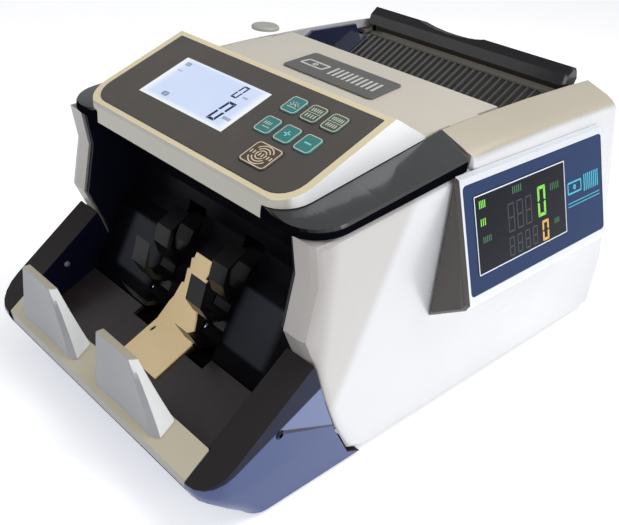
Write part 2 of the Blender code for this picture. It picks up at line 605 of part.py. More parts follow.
def stopper(name, left):
    """Note stopper: upright left side, right side sloping out to a wide foot, hollowed front face."""
    rows = []
    for k in range(7):
        share = k / 6
        front, back = STOPPER_FRONT_Y + 2.3 * share, STOPPER_BACK_Y - 4.9 * share
        low = strip_height(front) + GAP
        z_front = low + (STOPPER_CREST - low) * share
        low = strip_height(back) + GAP
        z_back = low + (STOPPER_CREST - low) * share
        face = STOPPER_FOOT - 6.3 - (STOPPER_FOOT - STOPPER_TOP - 4.6) * share ** 1.15
        shoulder = STOPPER_FOOT - (STOPPER_FOOT - STOPPER_TOP) * share ** 1.08
        rear = STOPPER_FOOT - (STOPPER_FOOT - STOPPER_TOP - 0.9) * share
        dent = 1.8 * math.sin(math.pi * (0.12 + 0.76 * share))
        ring = []
        for j in range(5):
            depth = dent * math.sin(math.pi * j / 4)
            ring.append((left + face * j / 4, front + depth, z_front + depth * (0.8 if k == 0 else 0)))
        ring += [(left + shoulder, front + 2.4, z_front + (z_back - z_front) * 2.4 / (back - front)),
                 (left + rear, back, z_back), (left, back, z_back)]
        rows.append(ring)
    return loft(name, rows, "white")


for left, label in zip(STOPPER_LEFT, ("left", "right")):
    stopper("stopper_" + label, left)

def wheel_slots():
    """Cutters for the two impeller wheels."""
    half = IMPELLER_WIDTH / 2 + SLOT_SIDE
    return [prism("slot", circle(*IMPELLER, IMPELLER_R + SLOT_TIP, 32), SIDE, side * IMPELLER_X - half,
                  side * IMPELLER_X + half, "dark") for side in (-1, 1)]


floor_line = [FLOOR_START, (FLOOR_END_Y, floor_height(FLOOR_END_Y))]
for name, line, thickness, slot in (("pocket_floor", floor_line, 3.0, "floor"),
                                    ("pocket_back_panel", BACK_PANEL, 2.4, "dark")):
    cut(prism(name, strip_outline(line, thickness), SIDE, -POCKET_HALF + GAP, POCKET_HALF - GAP, slot),
        *wheel_slots())


def tongue():
    """Pale bent sheet on the floor between the wheels, narrowing in steps as it climbs the back."""
    line = [(TONGUE_FRONT_Y, floor_height(TONGUE_FRONT_Y)), (-106.0, floor_height(-106.0)), BACK_PANEL[1]]
    count = len(line)
    under, over = (strip_outline(line, -lift)[count:] for lift in (GAP, GAP + TONGUE_THICK))
    sheet = prism("pocket_tongue", under[::-1] + over, SIDE, -TONGUE_HALF, TONGUE_HALF, "tongue")
    sides = []
    for side in (-1, 1):
        beyond = [(side * 30, TONGUE_EDGE[-1][1]), (side * 30, TONGUE_EDGE[0][1])]
        sides.append(prism("side", [(side * x, z) for x, z in TONGUE_EDGE] + beyond, FRONT, -108.5, -60, "tongue"))
    x, y, half_x, half_y = SENSOR_HOLE
    hole = [(x + half_x * a, y + half_y * b) for a, b in circle(0, 0, 1, 16)]
    return cut(sheet, *sides, prism("hole", hole, PLAN, 20, 60, "tongue"))


tongue()


# ---- chassis and note path -------------------------------------------------------------------------
def chassis_plate(name, side):
    front = [(y + 1.6, z) for y, z in FRONT_EDGE[1:-1]]
    top_front = (-105.5, along(SHOULDER_LOW, -105.5) - GAP - 0.3)
    outline = ([(-49, BOTTOM + 3.7)] + front[1:] + [top_front, (SHOULDER_REAR + 2, 179.2), (SHOULDER_REAR + 4, 187.5),
               (168, 187.5), (178.5, 184), (199, 128), (218, 68), (224, 48), (224, BOTTOM + 3.7)])
    low, high = sorted((side * POCKET_HALF, side * (POCKET_HALF + CHASSIS_PLATE)))
    plate = prism(name, outline, SIDE, low, high, "zinc")
    holes = [(IMPELLER, SHAFT_R), (FEED, SHAFT_R), (PICKUP, SHAFT_R), (HANDLE_PIVOT, 3.0)]
    if side < 0:
        holes.append((MOTOR, 3.0))
    return cut(plate, *[prism("hole", circle(*at, radius + SHAFT_CLEAR, 16), SIDE, low - 5, high + 5, "zinc")
                        for at, radius in holes])


for side, label in ((-1, "left"), (1, "right")):
    chassis_plate("chassis_plate_" + label, side)

far = POCKET_HALF + CHASSIS_PLATE + 2.5
for name, at, radius in (("impeller", IMPELLER, SHAFT_R), ("feed", FEED, SHAFT_R), ("pickup", PICKUP, SHAFT_R)):
    left = OUTER_TRACK[0] - 0.6
    shape = [(left, radius - 0.5), (left + 0.5, radius), (far - 0.5, radius), (far, radius - 0.5)]
    turned(name + "_shaft", shape, at, "steel", 12)


def impeller_wheel(name, x):
    """Stacking wheel with curved fingers that catch the notes."""
    outline = []
    step = 2 * math.pi / BLADES
    for k in range(BLADES):
        start = k * step
        for radius, turn in ((IMPELLER_HUB + 1.5, 0.60), (19, 0.68), (27, 0.565), (35.5, 0.34), (IMPELLER_R, 0.0),
                             (37.5, 0.40), (29, 0.66), (20, 0.84), (IMPELLER_HUB + 1.0, 0.98)):
            angle = start + turn
            outline.append((IMPELLER[0] + radius * math.cos(angle), IMPELLER[1] + radius * math.sin(angle)))
    low, high = x - IMPELLER_WIDTH / 2, x + IMPELLER_WIDTH / 2
    wheel = prism(name, outline, SIDE, low, high, "wheel", (x, *IMPELLER))
    return cut(wheel, prism("bore", circle(*IMPELLER, SHAFT_R + GAP, 16), SIDE, low - 5, high + 5, "wheel"))


for side, label in ((-1, "left"), (1, "right")):
    impeller_wheel("impeller_wheel_" + label, side * IMPELLER_X)
    for name, at, radius in (("feed", FEED, FEED_R), ("pickup", PICKUP, PICKUP_R)):
        low, high = side * ROLLER_X - ROLLER_WIDTH / 2, side * ROLLER_X + ROLLER_WIDTH / 2
        shape = [(low, radius - 0.8), (low + 0.8, radius), (high - 0.8, radius), (high, radius - 0.8)]
        turned(f"{name}_roller_{label}", shape, at, "rubber", 24, SHAFT_R + GAP, (side * ROLLER_X, *at))


def pulley(name, at, radius, tracks):
    """Flanged pulley over one or more belt tracks."""
    shape = []
    for x0, x1 in tracks:
        shape += [(x0, radius + 2), (x0 + 0.8, radius + 2), (x0 + 1.0, radius), (x1 - 1.0, radius),
                  (x1 - 0.8, radius + 2), (x1, radius + 2)]
    return turned(name, shape, at, "zinc", 20, SHAFT_R + GAP, (tracks[0][0], *at))


def belt(name, pulleys, track):
    """Flat belt round pulleys given as (centre, radius), anticlockwise seen along -X."""
    leaving = []
    for i, (here, r1) in enumerate(pulleys):
        there, r2 = pulleys[(i + 1) % len(pulleys)]
        line = Vector(there) - Vector(here)
        leaving.append(math.atan2(line.y, line.x) - math.acos((r1 - r2) / line.length))
    loops = []
    for extra in (0.35, 0.35 + BELT_THICK):
        points = []
        for i, (centre, radius) in enumerate(pulleys):
            start, end = leaving[i - 1], leaving[i]
            sweep = (end - start) % (2 * math.pi)
            for k in range(15):
                angle = start + sweep * k / 14
                points.append((centre[0] + (radius + extra) * math.cos(angle),
                               centre[1] + (radius + extra) * math.sin(angle)))
        loops.append(points)
    inner, outer = loops
    x0, x1 = track[0] + 1.3, track[1] - 1.3
    rings = [[(x, y, z) for y, z in points] for x, points in
             ((x0, inner), (x0, outer), (x1, outer), (x1, inner))]
    return finish(name, loft_bm(rings, closed=True), "belt")


pulley("feed_pulley", FEED, PULLEY_R["feed"], (OUTER_TRACK, INNER_TRACK))
pulley("pickup_pulley", PICKUP, PULLEY_R["pickup"], (OUTER_TRACK,))
pulley("impeller_pulley", IMPELLER, PULLEY_R["impeller"], (INNER_TRACK,))
belt("drive_belt", [(MOTOR, PULLEY_R["motor"]), (PICKUP, PULLEY_R["pickup"]), (FEED, PULLEY_R["feed"])],
     OUTER_TRACK)
belt("impeller_belt", [(FEED, PULLEY_R["feed"]), (IMPELLER, PULLEY_R["impeller"])], INNER_TRACK)

motor_front, motor_length, motor_radius = -POCKET_HALF + 0.5, 62.0, 22.0
turned("drive_motor", [(motor_front, motor_radius - 1), (motor_front + 1, motor_radius),
                       (motor_front + motor_length - 1, motor_radius),
                       (motor_front + motor_length, motor_radius - 1)], MOTOR, "zinc", 20)
x0, x1 = OUTER_TRACK
rim = PULLEY_R["motor"]
turned("motor_pulley", [(x0, rim + 2), (x0 + 0.8, rim + 2), (x0 + 1.0, rim), (x1 - 1.0, rim), (x1 - 0.8, rim + 2),
                        (x1, rim + 2), (x1 + 0.1, 2.5), (motor_front - GAP, 2.5)], MOTOR, "zinc", 20)


# ---- hopper ----------------------------------------------------------------------------------------
def hopper_plate():
    outline = [(-HOPPER_HALF, -2.5)]
    ribs = 30
    pitch = 2 * (HOPPER_HALF - 3) / ribs
    for k in range(ribs):
        a = -HOPPER_HALF + 3 + pitch * (k + 0.5)
        outline += [(a - 1.2, 0.0), (a - 0.5, 0.8), (a + 0.5, 0.8), (a + 1.2, 0.0)]
    outline = [outline[0], (-HOPPER_HALF, 0.0)] + outline[1:] + [(HOPPER_HALF, 0.0), (HOPPER_HALF, -2.5)]
    plate = prism("hopper_plate", outline, HOPPER, 0, HOPPER_LENGTH, "plate")
    slots = []
    for side in (-1, 1):
        low, high = sorted((side * (ROLLER_X - ROLLER_WIDTH / 2 - 1.6), side * (ROLLER_X + ROLLER_WIDTH / 2 + 1.6)))
        slots.append(prism("slot", circle(*PICKUP, PICKUP_R + 2.0, 20), SIDE, low, high, "plate"))
    return cut(plate, *slots)


hopper_plate()


def note_guide(name, side):
    """Side guide standing just above the ribs of the hopper plate."""
    low, high = sorted((side * GUIDE_X[0], side * GUIDE_X[1]))
    foot_low, foot_high = sorted((side * (GUIDE_X[0] - 9), side * GUIDE_X[1]))
    blade = prism(name, rectangle(low, high, 1.1, 34), HOPPER, 3, HOPPER_LENGTH - 5, "navy",
                  (side * GUIDE_X[0], *HOPPER_FOOT))
    foot = prism("foot", rectangle(foot_low, foot_high, 1.1, 2.4), HOPPER, 3, HOPPER_LENGTH - 5, "navy")
    join(blade, foot)
    top = prism("top", [(0, 197.0), (300, 197.0), (300, 300), (0, 300)], SIDE, -200, 200, "navy")
    front = prism("front", [(0, 0), (COVER_BACK[0] + 1.2, 0), (COVER_BACK[0] + 1.2, 300), (0, 300)], SIDE,
                  -200, 200, "navy")
    return cut(blade, top, front)


for side, label in ((-1, "left"), (1, "right")):
    note_guide("note_guide_" + label, side)


def handle_bar():
    """Black bar across the back of the hopper with a finger scoop, hinged by two end arms."""
    section = [(150.5, 197.2), (152.6, 204.6), (158.6, 209.6), (165.6, 207.6), (168.6, 200.6), (164.8, 193.6),
               (156.4, 192.0)]
    pivot = (0, *HANDLE_PIVOT)
    bar = prism("handle_bar", section, SIDE, -HANDLE_HALF, HANDLE_HALF, "dark", pivot, (1.8, 1.8))
    arms = []
    for side in (-1, 1):
        arm = [(157, 195), (165, 197), (175.5, 181), (174, 176), (168.5, 175), (166, 179)]
        low, high = sorted((side * (HANDLE_HALF - 3.4), side * (HANDLE_HALF + 0.1)))
        arms.append(prism("arm", arm, SIDE, low, high, "dark"))
        low, high = sorted((side * (HANDLE_HALF - 2), side * (POCKET_HALF + 2.4)))
        arms.append(prism("pin", circle(*HANDLE_PIVOT, 3.0, 14), SIDE, low, high, "dark"))
    join(bar, *arms)
    rings = []
    for k in range(1, 12):
        turn = math.pi * k / 12
        rings.append([(-14 - 40 * math.cos(turn), 163.5 + 13 * math.sin(turn) * a, 215 + 11 * math.sin(turn) * b)
                      for a, b in circle(0, 0, 1.0, 24)])
    return cut(bar, loft("scoop", rings, "dark"))


handle_bar()


# ---- side display ----------------------------------------------------------------------------------
def side_display():
    y0, y1 = POD_Y
    pod = prism("side_display_housing", POD_SECTION, FRONT, y0, y1, "bezel", edges=(2.0, 2.0))
    bezel = rectangle(y0 + POD_BEZEL, y1 - POD_BEZEL, POD_BEZEL, POD_HEIGHT - POD_BEZEL, 3.0, 3)
    cut(pod, prism("recess", bezel, POD, -1.2, 20, "bezel"))
    label = prism("side_display_label", inset(bezel, GAP), POD, -0.9, -0.2, "pod_label")
    window = rectangle(*POD_WINDOW[:2], *POD_WINDOW[2:], 0.8, 2)
    cut(label, prism("view", inset(window, -GAP), POD, -5, 5, "pod_label"))
    prism("side_display_window", window, POD, -0.9, 0.0, "window", edges=(0, 0.2))


side_display()


# ---- underside and electrics -----------------------------------------------------------------------
low_z, high_z = BOTTOM + GAP, BOTTOM + 3.3
plate_half = HALF_WIDTH - SKIN - 0.6
prism("bottom_plate", rectangle(-plate_half, plate_half, -46.5, REAR_Y - SKIN - 0.6), PLAN, low_z, high_z, "grey")
for number, (x, y) in enumerate(((-100, -118), (100, -118), (-100, 200), (100, 200)), 1):
    rings = [[(x + a, y + b, z) for a, b in circle(0, 0, r, 14)] for z, r in
             ((0, 7.2), (0.6, 8.0), (BOTTOM - GAP, 8.0))]
    loft(f"foot_{number}", rings, "rubber", (x, y, 0), True)

board = prism("main_board", rectangle(-70, 80, 120, 195), PLAN, 16, 17.6, "board")
raised = [("leg", rectangle(x - 3, x + 3, y - 3, y + 3), high_z + GAP, 16.4)
          for x in (-64, 74) for y in (126, 189)]
raised += [("chip", rectangle(-50, -20, 135, 165), 17.2, 21), ("relay", rectangle(0, 24, 130, 146), 17.2, 33),
           ("socket", rectangle(40, 70, 178, 188), 17.2, 26), ("heatsink", rectangle(40, 46, 130, 165), 17.2, 40)]
join(board, *[prism(part, outline, PLAN, z0, z1, "board") for part, outline, z0, z1 in raised])

core = prism("transformer", rectangle(20, 78, 30, 78), PLAN, high_z + GAP, 52, "copper", edges=(1.5, 1.5))
flange = prism("flange", rectangle(10, 88, 38, 70), PLAN, high_z + GAP, high_z + 2.4, "copper")
join(core, flange)
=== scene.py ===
"""Looks of a banknote counting machine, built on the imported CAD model."""
import math

import bmesh
import bpy
from mathutils import Matrix, Vector


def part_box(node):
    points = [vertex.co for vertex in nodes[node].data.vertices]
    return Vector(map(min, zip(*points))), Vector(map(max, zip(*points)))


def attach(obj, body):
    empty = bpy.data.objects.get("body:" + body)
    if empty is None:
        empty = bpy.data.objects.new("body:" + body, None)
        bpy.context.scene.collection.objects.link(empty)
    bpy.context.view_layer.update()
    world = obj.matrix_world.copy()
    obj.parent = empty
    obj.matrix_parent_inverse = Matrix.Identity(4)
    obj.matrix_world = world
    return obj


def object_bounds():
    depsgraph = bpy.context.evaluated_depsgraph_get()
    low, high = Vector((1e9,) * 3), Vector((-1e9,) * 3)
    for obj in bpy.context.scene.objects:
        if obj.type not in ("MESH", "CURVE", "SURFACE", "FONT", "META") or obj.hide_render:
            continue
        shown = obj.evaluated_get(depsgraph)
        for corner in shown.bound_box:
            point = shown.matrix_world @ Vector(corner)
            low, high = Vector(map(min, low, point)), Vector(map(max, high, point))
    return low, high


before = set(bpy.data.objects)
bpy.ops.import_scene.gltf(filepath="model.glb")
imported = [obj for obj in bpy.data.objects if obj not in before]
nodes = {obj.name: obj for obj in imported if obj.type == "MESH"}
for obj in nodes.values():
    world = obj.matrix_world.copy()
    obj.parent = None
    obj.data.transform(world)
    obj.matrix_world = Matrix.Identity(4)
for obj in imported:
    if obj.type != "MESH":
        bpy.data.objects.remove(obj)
cad_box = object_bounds()
MM = 0.001
UP, RIGHTWARD, BACKWARD = (0, 0, 1), (1, 0, 0), (0, 1, 0)


# ---- materials ---------------------------------------------------------------------------------------
class Graph:
    """Short-hand for building a node tree."""

    def __init__(self, name):
        self.material = bpy.data.materials.new(name)
        self.material.use_nodes = True
        self.tree = self.material.node_tree
        self.shader = self.tree.nodes["Principled BSDF"]
        self.coordinates = self.add("ShaderNodeTexCoord")
        self.place = self.coordinates.outputs["Object"]

    def add(self, kind, **settings):
        """New node with its settings."""
        node = self.tree.nodes.new(kind)
        for key, value in settings.items():
            setattr(node, key, value)
        return node

    def link(self, source, target):
        """Wire from an output to an input."""
        self.tree.links.new(source, target)

    def noise(self, scale, detail=3.0, rough=0.55, stretch=None):
        """Noise over the place, stretched along an axis when that is asked for."""
        node = self.add("ShaderNodeTexNoise")
        node.inputs["Scale"].default_value = scale
        node.inputs["Detail"].default_value = detail
        node.inputs["Roughness"].default_value = rough
        place = self.place
        if stretch:
            mapping = self.add("ShaderNodeMapping")
            mapping.inputs["Scale"].default_value = stretch
            self.link(place, mapping.inputs["Vector"])
            place = mapping.outputs["Vector"]
        self.link(place, node.inputs["Vector"])
        return node.outputs["Fac"]

    def span(self, value, low, high, start=0.0, stop=1.0):
        """Value mapped from start..stop to low..high."""
        node = self.add("ShaderNodeMapRange")
        ends = {"From Min": start, "From Max": stop, "To Min": low, "To Max": high}
        for key, number in ends.items():
            node.inputs[key].default_value = number
        self.link(value, node.inputs["Value"])
        return node.outputs["Result"]

    def axis(self, which, source=None):
        """Component "X", "Y" or "Z" of a vector, which is the place in metres unless another is given."""
        node = self.add("ShaderNodeSeparateXYZ")
        self.link(source or self.place, node.inputs[0])
        return node.outputs[which]

    def facing(self, which):
        """One component of the surface's own normal."""
        return self.axis(which, self.add("ShaderNodeNewGeometry").outputs["Normal"])

    def over(self, value, edge, soft):
        """0 below edge, 1 above it, over a band 2 soft wide."""
        node = self.add("ShaderNodeMapRange", interpolation_type="SMOOTHSTEP")
        node.inputs["From Min"].default_value = edge - soft
        node.inputs["From Max"].default_value = edge + soft
        self.link(value, node.inputs["Value"])
        return node.outputs["Result"]

    def math(self, operation, *values):
        """Sum, product or other operation on outputs and numbers."""
        node = self.add("ShaderNodeMath", operation=operation)
        for socket, value in zip(node.inputs, values):
            if isinstance(value, bpy.types.NodeSocket):
                self.link(value, socket)
            else:
                socket.default_value = value
        return node.outputs[0]

    def inside(self, value, low, high, soft):
        """1 between low and high."""
        return self.math("SUBTRACT", self.over(value, low, soft), self.over(value, high, soft))

    def mix(self, amount, first, second):
        """Colour between first and second."""
        node = self.add("ShaderNodeMix", data_type="RGBA")
        factor, start, stop, result = node.inputs["Factor"], node.inputs[6], node.inputs[7], node.outputs[2]
        for socket, value in ((factor, amount), (start, first), (stop, second)):
            if isinstance(value, bpy.types.NodeSocket):
                self.link(value, socket)
            elif isinstance(value, (int, float)):
                socket.default_value = value
            else:
                socket.default_value = (*value, 1.0)
        return result

    def bump(self, height, strength, distance, normal=None):
        """Normal bent by a height, on top of another normal when one is given."""
        node = self.add("ShaderNodeBump")
        node.inputs["Strength"].default_value = strength
        node.inputs["Distance"].default_value = distance
        self.link(height, node.inputs["Height"])
        if normal:
            self.link(normal, node.inputs["Normal"])
        return node.outputs["Normal"]


def toned(g, colour, tone):
    """Colour that drifts a little over the surface."""
    dark = tuple(c * (1 - tone) for c in colour)
    light = tuple(min(1.0, c * (1 + tone)) for c in colour)
    return g.mix(g.span(g.noise(9.0, 4.0), 0.0, 1.0, 0.3, 0.7), dark, light)


def plastic(name, colour, rough=0.4, metal=0.0, coat=0.0, grain=0.02, grain_scale=900.0, tone=0.05,
            dust=0.0, zones=(), shine=0.5, dull=None, lit=0.0):
    """Moulded or painted surface: tone drift, faint waves, uneven gloss, and grain and dust where set.

    zones are (mask, colour) pairs, where mask makes a 0 to 1 value from the graph. dull is a mask of
    what reflects little, and lit is how strongly the surface glows in its own colour: painted light.
    """
    g = Graph(name)
    base = toned(g, colour, tone)
    for mask, other in zones:
        base = g.mix(mask(g), base, toned(g, other, tone))
    if dust:
        settled = g.math("MULTIPLY", g.span(g.noise(46.0, 6.0, 0.7), 0.0, dust, 0.5, 0.8),
                         g.over(g.facing("Z"), 0.3, 0.3))
        base = g.mix(settled, base, (0.55, 0.54, 0.52))
    g.link(base, g.shader.inputs["Base Color"])
    spread = 0.12 * rough + 0.01
    g.link(g.span(g.noise(12.0, 1.0), max(0.02, rough - spread), rough + spread, 0.3, 0.7),
           g.shader.inputs["Roughness"])
    g.shader.inputs["Metallic"].default_value = metal
    g.shader.inputs["Specular IOR Level"].default_value = shine
    # lit makes the surface glow in its own colour: painted light, not a lamp.
    if lit:
        g.link(base, g.shader.inputs["Emission Color"])
        g.shader.inputs["Emission Strength"].default_value = lit
    if coat:
        g.shader.inputs["Coat Weight"].default_value = coat
        g.shader.inputs["Coat Roughness"].default_value = 0.10
    if dull:
        clear = g.math("SUBTRACT", 1.0, dull(g))
        g.link(g.math("MULTIPLY", clear, shine), g.shader.inputs["Specular IOR Level"])
        g.link(g.math("MULTIPLY", clear, coat), g.shader.inputs["Coat Weight"])
    waves = g.bump(g.noise(70.0, 2.0), 0.05, 0.0004)
    if grain:
        waves = g.bump(g.noise(grain_scale, 2.0, 0.6), grain * 10, 0.00002, waves)
    g.link(waves, g.shader.inputs["Normal"])
    return g.material


def metal(name, colour, rough=0.3, stretch=(1, 1, 1), scale=700.0):
    """Sheet or turned metal with directional scratches and stains."""
    g = Graph(name)
    brush = g.noise(scale, 3.0, 0.7, stretch)
    stain = g.noise(22.0, 5.0, 0.6)
    base = g.mix(g.span(stain, 0.0, 1.0, 0.35, 0.75), colour, tuple(c * 0.78 for c in colour))
    g.link(base, g.shader.inputs["Base Color"])
    g.shader.inputs["Metallic"].default_value = 1.0
    g.link(g.span(brush, rough * 0.7, rough * 1.5, 0.25, 0.75), g.shader.inputs["Roughness"])
    g.link(g.bump(brush, 0.18, 0.00005), g.shader.inputs["Normal"])
    return g.material


def glow(name, colour, strength):
    """Lit segment, with a slightly uneven output."""
    g = Graph(name)
    uneven = g.noise(260.0, 2.0)
    g.link(g.mix(g.span(uneven, 0.0, 0.25, 0.3, 0.7), colour, tuple(c * 0.7 for c in colour)),
           g.shader.inputs["Emission Color"])
    g.shader.inputs["Base Color"].default_value = (0.02, 0.02, 0.02, 1.0)
    g.shader.inputs["Emission Strength"].default_value = strength
    g.shader.inputs["Roughness"].default_value = 0.4
    return g.material


def lcd_glass():
    """Backlit display: bluish, whiter along its edges, with a very fine grain."""
    g = Graph("lcd_backlit")
    spread = g.coordinates.outputs["Generated"]
    along, across = (g.math("ABSOLUTE", g.math("SUBTRACT", g.axis(which, spread), 0.5)) for which in "XY")
    edge = g.over(g.math("MAXIMUM", along, across), 0.445, 0.05)
    middle = g.mix(g.span(g.noise(28.0, 2.0), 0.0, 1.0, 0.3, 0.7), (0.60, 0.71, 0.95), (0.66, 0.75, 0.95))
    colour = g.mix(edge, middle, (0.90, 0.93, 0.95))
    g.link(g.mix(0.6, colour, (0.0, 0.0, 0.0)), g.shader.inputs["Base Color"])
    g.link(colour, g.shader.inputs["Emission Color"])
    g.shader.inputs["Emission Strength"].default_value = 0.67
    g.shader.inputs["Roughness"].default_value = 0.25
    g.link(g.bump(g.noise(1500.0, 1.0), 0.05, 0.00003), g.shader.inputs["Normal"])
    return g.material


def rubber(name, colour=(0.022, 0.022, 0.022)):
    """Matt rubber with dust in patches."""
    g = Graph(name)
    dust = g.noise(60.0, 6.0, 0.7)
    dusty = g.mix(g.span(dust, 0.0, 0.35, 0.45, 0.8), colour, (0.12, 0.115, 0.11))
    g.link(dusty, g.shader.inputs["Base Color"])
    g.link(g.span(dust, 0.65, 0.9, 0.3, 0.7), g.shader.inputs["Roughness"])
    g.link(g.bump(g.noise(1100.0, 3.0), 0.3, 0.00008), g.shader.inputs["Normal"])
    return g.material


def circuit():
    """Green board with paler tracks."""
    g = Graph("circuit_board")
    cells = g.add("ShaderNodeTexVoronoi", feature="DISTANCE_TO_EDGE")
    cells.inputs["Scale"].default_value = 130.0
    g.link(g.place, cells.inputs["Vector"])
    track = g.span(cells.outputs["Distance"], 1.0, 0.0, 0.0, 0.06)
    g.link(g.mix(track, (0.012, 0.10, 0.035), (0.05, 0.26, 0.09)), g.shader.inputs["Base Color"])
    g.shader.inputs["Roughness"].default_value = 0.35
    g.link(g.bump(track, 0.3, 0.00005), g.shader.inputs["Normal"])
    return g.material


# ---- masks: where on a piece its other colours lie ------------------------------------------------------
hopper_low, hopper_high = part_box("hopper_plate")
tray_low, tray_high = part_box("base_tray")
MIDDLE_X = (tray_low.x + tray_high.x) / 2
SCREW_AT = (48.6, 56.3)       # screw of a cheek, mm behind the tray's front and above the table
LENS_AT = (44.4, 58.8)        # lens of the note sensor, measured the same way
WALL_EDGE = (87.8, 49.3)      # a point on the edge of the painted shade on the side wall, the same way
NOSE_DEPTH = 76.85 * MM       # how far behind the tray's front the side wall's nose ends
LEDGE_Z = 0.186               # between the shells' top bands and the ledges below them
REFLECTION_X = (0.042, 0.078)    # painted reflection on the pocket's back, from the middle outwards
REFLECTION_Z = (0.061, 0.0955)
RIBS = 30
RIB_MARGIN = 3 * MM           # plain strip at each end of the hopper plate
RIB_PITCH = (hopper_high.x - hopper_low.x - 2 * RIB_MARGIN) / RIBS
RIB_START = hopper_low.x + RIB_MARGIN
RIB_CREST = 0.3 * MM          # half the width of the painted highlight on a crest


def top_side(g):
    """Bands along the top, and not the ledges below them."""
    return g.math("MULTIPLY", g.over(g.facing("Z"), 0.45, 0.2), g.over(g.axis("Z"), LEDGE_Z, 0.001))


def crown(g):
    """Faces that look almost straight up."""
    return g.over(g.facing("Z"), 0.80, 0.05)


def upright_front(g):
    """Faces that look almost straight to the front."""
    return g.over(g.math("MULTIPLY", g.facing("Y"), -1.0), 0.85, 0.06)


def side_faces(g):
    """Faces that look to either side."""
    return g.over(g.math("ABSOLUTE", g.facing("X")), 0.6, 0.1)


def front_end(g):
    """Faces that look mostly to the front."""
    return g.over(g.math("MULTIPLY", g.facing("Y"), -1.0), 0.6, 0.1)


def steep(g):
    """Everything but the top."""
    return g.math("SUBTRACT", 1.0, g.over(g.facing("Z"), 0.55, 0.15))


def rising(g, along, height, slope, soft=0.4):
    """1 above a sloping line through a point, in mm behind the tray's front and above the table."""
    foot = height * MM - slope * (tray_low.y + along * MM)
    rise = g.math("SUBTRACT", g.axis("Z"), g.math("MULTIPLY_ADD", g.axis("Y"), slope, foot))
    return g.over(rise, 0.0, soft * MM)


def rim(g):
    """The matt top of the tray's rim."""
    return g.over(g.facing("Z"), 0.35, 0.1)


def tray_inside(g):
    """Faces of the tray that look towards its middle."""
    outward = g.math("MULTIPLY", g.facing("X"), g.math("SUBTRACT", g.axis("X"), MIDDLE_X))
    return g.math("SUBTRACT", 1.0, g.over(outward, -0.04, 0.02))


def cheek_band(g):
    """Dark band along the top of the tray's outer faces, which widens towards the back."""
    return rising(g, SCREW_AT[0], SCREW_AT[1] + 3.4, 0.5, 0.5)


def tray_matt(g):
    """How dull the tray's rim, inside and dark band are."""
    band = g.math("MULTIPLY", cheek_band(g), 0.8)
    quiet = g.math("MAXIMUM", g.math("MAXIMUM", rim(g), tray_inside(g)), band)
    return g.math("MULTIPLY", quiet, 0.85)


def on_cheek(g, mask):
    """A mask kept to the outer face of a cheek, behind its screw."""
    behind = g.over(g.axis("Y"), tray_low.y + SCREW_AT[0] * MM, 0.0006)
    return g.math("MULTIPLY", g.math("MULTIPLY", mask, behind), side_faces(g))


def painted_cheek_sheen(g):
    """Painted sheen: a paler fan of a cheek between its dark band and the line that runs back from the
    screw.
    """
    return on_cheek(g, rising(g, SCREW_AT[0], SCREW_AT[1] + 2.6, -0.43))


def painted_crease_shadow(g):
    """Painted shadow of a crease: a dark line from the screw to the shell, which narrows towards the shell.
    """
    lower = rising(g, SCREW_AT[0], SCREW_AT[1], -0.405)
    upper = rising(g, SCREW_AT[0], SCREW_AT[1] + 3, -0.45)
    return on_cheek(g, g.math("SUBTRACT", lower, upper))


def painted_shell_shade(g):
    """Painted shade: the side wall is darker in front of a soft slanting edge."""
    return g.math("MULTIPLY", rising(g, *WALL_EDGE, slope=2.49, soft=14.0), g.over(g.facing("X"), 0.5, 0.2))


def painted_nose_shade(g):
    """Painted shade on the side wall's front end, which is darker still."""
    return g.over(g.math("MULTIPLY", g.axis("Y"), -1.0), -(tray_low.y + NOSE_DEPTH), 0.006)


def painted_wall_reflection(g):
    """Painted reflection: the slanted lower part of the pocket's back is paler grey beside the wheels."""
    from_middle = g.math("ABSOLUTE", g.math("SUBTRACT", g.axis("X"), MIDDLE_X))
    beside = g.inside(from_middle, *REFLECTION_X, 0.004)
    return g.math("MULTIPLY", beside, g.inside(g.axis("Z"), *REFLECTION_Z, 0.0015))


def rib_highlights(g):
    """Painted highlight along the crest of each rib of the hopper plate."""
    crest = g.math("PINGPONG", g.math("SUBTRACT", g.axis("X"), RIB_START), RIB_PITCH / 2)
    return g.over(crest, RIB_PITCH / 2 - RIB_CREST, 0.0002)


# ---- finishes: name, colour, roughness, then what differs from plain plastic ----------------------------
# On the silver shells the darker front part, nose and front-facing faces are painted shade; the top bands
# are beige paint.
SILVER = plastic("silver_paint", (0.70, 0.71, 0.73), 0.32, metal=0.25, grain=0.0, tone=0.025,
                 zones=[(painted_shell_shade, (0.56, 0.55, 0.535)), (painted_nose_shade, (0.42, 0.40, 0.39)),
                        (front_end, (0.42, 0.40, 0.385)), (top_side, (0.60, 0.54, 0.43))])
BEIGE = plastic("beige_paint", (0.70, 0.65, 0.56), 0.46, metal=0.10, grain=0.0, tone=0.035, dust=0.03)
# The housing's front-facing faces are darker: painted shade. Its sides are silver paint.
CHAMPAGNE = plastic("champagne_paint", (0.90, 0.79, 0.53), 0.34, metal=0.10, grain=0.0, tone=0.04,
                    zones=[(side_faces, (0.90, 0.91, 0.92)), (front_end, (0.50, 0.49, 0.43))])
# The shoulders' steep sides are painted near black and made dull: painted shade in place of the floor's
# reflection.
SHOULDER = plastic("shoulder_gloss", (0.034, 0.036, 0.036), 0.22, coat=0.6, grain=0.0,
                   zones=[(steep, (0.003, 0.003, 0.005))], dull=steep)
FILM = plastic("panel_film", (0.088, 0.078, 0.070), 0.42, grain=0.05, grain_scale=1500, tone=0.08,
               dust=0.03)
TEAL = plastic("teal_key", (0.045, 0.245, 0.235), 0.45, grain=0.03, tone=0.08)
PALE = plastic("pale_key", (0.085, 0.130, 0.090), 0.45, grain=0.03, tone=0.12)
RESET = plastic("reset_key", (0.095, 0.072, 0.046), 0.45, grain=0.03, tone=0.08)
